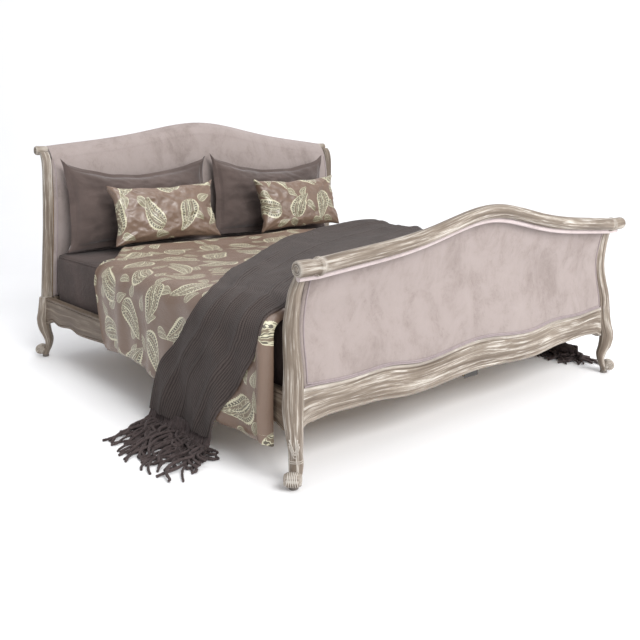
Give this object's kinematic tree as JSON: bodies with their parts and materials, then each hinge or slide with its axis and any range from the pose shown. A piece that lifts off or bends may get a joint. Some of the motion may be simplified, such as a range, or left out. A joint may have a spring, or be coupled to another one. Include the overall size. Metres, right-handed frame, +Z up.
{
  "type": "sleigh bed",
  "caption": "King-size sleigh bed with scrolled, upholstered head and foot panels, carved cabriole legs, slatted base, mattress, duvet, fringed throw, shams and cushions.",
  "frame": {"origin": "on the floor under the middle of the bed", "axes": "+X to the right of someone looking from the foot, +Y towards the headboard, +Z up"},
  "size_m": [2.58, 2.3029, 1.2726],
  "materials": {
    "limed_oak": "limed, open grain, satin",
    "rail_oak": "limed, browner, satin",
    "panel_core": "raw plywood",
    "panel_velvet": "crushed velvet, mottled",
    "welt_velvet": "velvet over cord",
    "glide_plastic": "moulded",
    "ledger_pine": "planed",
    "slat_pine": "planed",
    "plate_steel": "zinc plated",
    "screw_steel": "zinc plated",
    "black_steel": "satin powder coat",
    "leveller_steel": "satin",
    "fitted_sheet": "cotton percale",
    "duvet_satin": "printed cotton satin",
    "throw_knit": "ribbed knit",
    "throw_fringe": "twisted chenille",
    "sham_velvet": "matt cotton velvet",
    "cushion_satin": "printed cotton satin"
  },
  "bodies": {
    "bed": {"head_leg_left": "limed_oak", "head_leg_right": "limed_oak", "headboard_stile_left": "limed_oak", "headboard_stile_right": "limed_oak", "headboard_scroll_left": "limed_oak", "headboard_scroll_right": "limed_oak", "headboard_top_roll": "panel_velvet", "headboard_bottom_rail": "rail_oak", "headboard_core": "panel_core", "headboard_pad_front": "panel_velvet", "headboard_pad_back": "panel_velvet", "footboard_post_left": "limed_oak", "footboard_post_right": "limed_oak", "footboard_top_rail": "limed_oak", "footboard_scroll_left": "limed_oak", "footboard_scroll_right": "limed_oak", "footboard_bottom_rail": "limed_oak", "footboard_core": "panel_core", "footboard_pad_front": "panel_velvet", "footboard_pad_back": "panel_velvet", "footboard_welt": "welt_velvet", "glide_foot_left": "glide_plastic", "glide_foot_right": "glide_plastic", "glide_head_left": "glide_plastic", "glide_head_right": "glide_plastic", "side_rail_left": "rail_oak", "side_rail_right": "rail_oak", "slat_ledger_left": "ledger_pine", "slat_ledger_right": "ledger_pine", "rail_hook_plates": "plate_steel", "rail_receiver_plates": "plate_steel", "wood_screws": "screw_steel", "centre_beam": "slat_pine", "beam_brackets": "plate_steel", "centre_leg_1": "black_steel", "centre_leg_2": "black_steel", "centre_leg_3": "black_steel", "slat_01": "slat_pine", "slat_02": "slat_pine", "slat_03": "slat_pine", "slat_04": "slat_pine", "slat_05": "slat_pine", "slat_06": "slat_pine", "slat_07": "slat_pine", "slat_08": "slat_pine", "slat_09": "slat_pine", "slat_10": "slat_pine", "slat_11": "slat_pine", "mattress": "fitted_sheet", "duvet": "duvet_satin", "throw_blanket": "throw_knit", "throw_fringe_left": "throw_fringe", "throw_fringe_right": "throw_fringe", "sham_left": "sham_velvet", "sham_right": "sham_velvet", "cushion_left": "cushion_satin", "cushion_right": "cushion_satin"},
    "levelling_foot_1": {"levelling_foot_1": "leveller_steel"},
    "levelling_foot_2": {"levelling_foot_2": "leveller_steel"},
    "levelling_foot_3": {"levelling_foot_3": "leveller_steel"}
  },
  "joints": [
    {"name": "levelling_foot_1_screw", "type": "slide", "parent": "bed", "child": "levelling_foot_1", "axis": [0, 0, -1], "range_m": [0, 0.012]},
    {"name": "levelling_foot_2_screw", "type": "slide", "parent": "bed", "child": "levelling_foot_2", "axis": [0, 0, -1], "range_m": [0, 0.012]},
    {"name": "levelling_foot_3_screw", "type": "slide", "parent": "bed", "child": "levelling_foot_3", "axis": [0, 0, -1], "range_m": [0, 0.012]}
  ]
}
